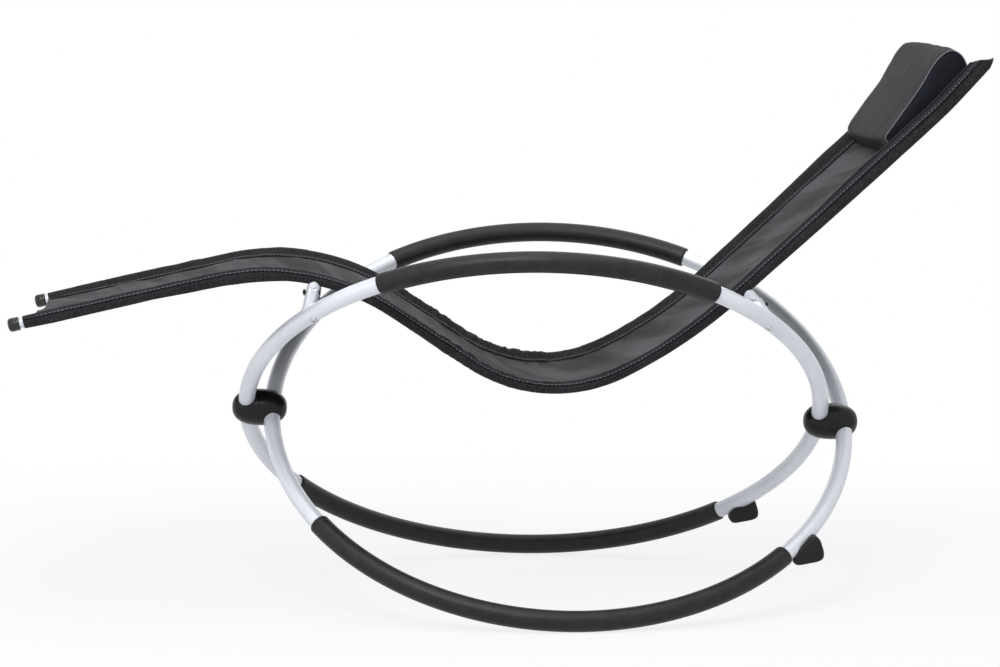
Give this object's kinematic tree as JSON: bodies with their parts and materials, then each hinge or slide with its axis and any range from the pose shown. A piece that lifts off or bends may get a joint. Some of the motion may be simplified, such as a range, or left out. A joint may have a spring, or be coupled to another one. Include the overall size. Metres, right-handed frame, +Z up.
{
  "type": "rocking chaise lounge",
  "caption": "Folding rocking chaise lounge: a fabric sling between bent rails, hung in two crossed oval tube hoops, with foam grips and a head pillow.",
  "frame": {"origin": "middle of the footprint, on the floor, with the chair leaned back to its rest", "axes": "+Z up, +X from the feet towards the head, +Y towards the sitter's right"},
  "size_m": [1.4372, 0.648, 0.8347],
  "materials": {
    "painted_tube": "satin",
    "grip_foam": "matte",
    "gloss_black": "gloss",
    "zinc_steel": "satin",
    "nylon": "satin",
    "bed_fabric": "matte",
    "sleeve_fabric": "matte",
    "pillow_fabric": "matte"
  },
  "bodies": {
    "left_rail": {"left_seat_rail": "painted_tube", "left_sleeve": "sleeve_fabric", "left_foot_cap": "gloss_black", "left_head_cap": "gloss_black", "left_front_hinge_pin": "gloss_black", "left_rear_hinge_pin": "gloss_black", "sling": "bed_fabric"},
    "left_arm_hoop": {"left_arm_tube": "painted_tube", "right_rocker_tube": "painted_tube", "left_arm_foam": "grip_foam", "right_rocker_foam": "grip_foam", "left_front_strut": "painted_tube", "left_rear_strut": "painted_tube", "left_front_screw": "zinc_steel", "left_rear_screw": "zinc_steel", "left_front_knuckle": "gloss_black", "left_rear_knuckle": "gloss_black", "right_rear_stop": "gloss_black", "front_pivot_bolt": "zinc_steel", "front_pivot_nut": "zinc_steel", "front_thrust_washer": "nylon", "rear_pivot_bolt": "zinc_steel", "rear_pivot_nut": "zinc_steel", "rear_thrust_washer": "nylon"},
    "right_arm_hoop": {"right_arm_tube": "painted_tube", "left_rocker_tube": "painted_tube", "right_arm_foam": "grip_foam", "left_rocker_foam": "grip_foam", "right_front_strut": "painted_tube", "right_rear_strut": "painted_tube", "right_front_screw": "zinc_steel", "right_rear_screw": "zinc_steel", "right_front_knuckle": "gloss_black", "right_rear_knuckle": "gloss_black", "left_rear_stop": "gloss_black"},
    "right_rail": {"right_seat_rail": "painted_tube", "right_sleeve": "sleeve_fabric", "right_foot_cap": "gloss_black", "right_head_cap": "gloss_black", "right_front_hinge_pin": "gloss_black", "right_rear_hinge_pin": "gloss_black"},
    "pillow": {"pillow": "pillow_fabric"}
  },
  "joints": [
    {"name": "fold", "type": "hinge", "parent": "left_arm_hoop", "child": "right_arm_hoop", "pos_m": [0.07938, 0, 0.27362], "axis": [0.9995, 0, -0.0311], "range_deg": [0, 76], "deforming": ["sling", "pillow"]},
    {"name": "left_rail_swing", "type": "hinge", "parent": "left_rail", "child": "left_arm_hoop", "pos_m": [0.05247, -0.19001, 0.47002], "axis": [-0.9995, 0, 0.0311], "range_deg": [0, 38]},
    {"name": "right_rail_swing", "type": "hinge", "parent": "right_arm_hoop", "child": "right_rail", "pos_m": [0.05247, 0.19001, 0.47002], "axis": [-0.9995, 0, 0.0311], "range_deg": [0, 38]},
    {"name": "pillow_slide", "type": "slide", "parent": "left_rail", "child": "pillow", "axis": [-0.7382, 0, -0.6746], "range_m": [0, 0.12]}
  ],
  "couplings": [
    {"joint": "left_rail_swing", "follows": "fold", "ratio": 0.5},
    {"joint": "right_rail_swing", "follows": "fold", "ratio": 0.5}
  ]
}
